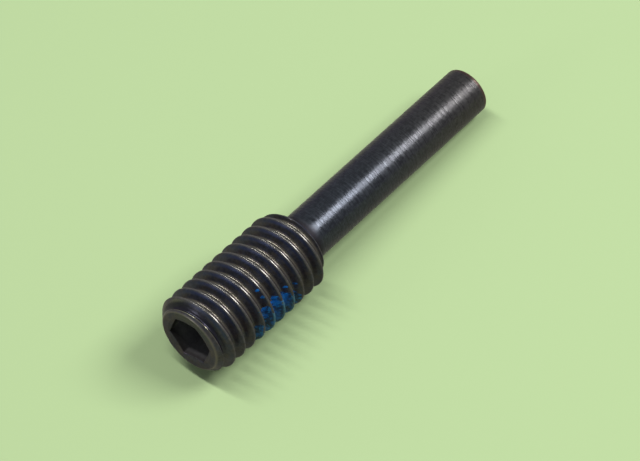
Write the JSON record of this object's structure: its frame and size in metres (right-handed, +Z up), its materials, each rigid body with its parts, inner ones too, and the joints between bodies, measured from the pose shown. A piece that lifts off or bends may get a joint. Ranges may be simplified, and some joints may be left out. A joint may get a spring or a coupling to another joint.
{
  "type": "clamp bolt",
  "caption": "Headless steel clamp bolt: a threaded body with a hex socket in one end and a long plain round pin on the other, with a patch of blue thread-lock.",
  "frame": {"origin": "middle of the bolt's box, on the surface that it lies on", "axes": "+X runs from the socket end towards the tip, seen from above; +Z is up. The bolt's own axis lies in the XZ plane and falls 3.64 degrees towards the tip"},
  "size_m": [0.0238, 0.0048, 0.0053],
  "materials": {
    "bolt_steel": "dark blackened steel with a satin machined sheen, slightly brown at the tip",
    "thread_lock": "worn blue nylon thread-lock film, mottled, with gaps"
  },
  "bodies": {
    "root": {"bolt": "bolt_steel"}
  },
  "joints": []
}
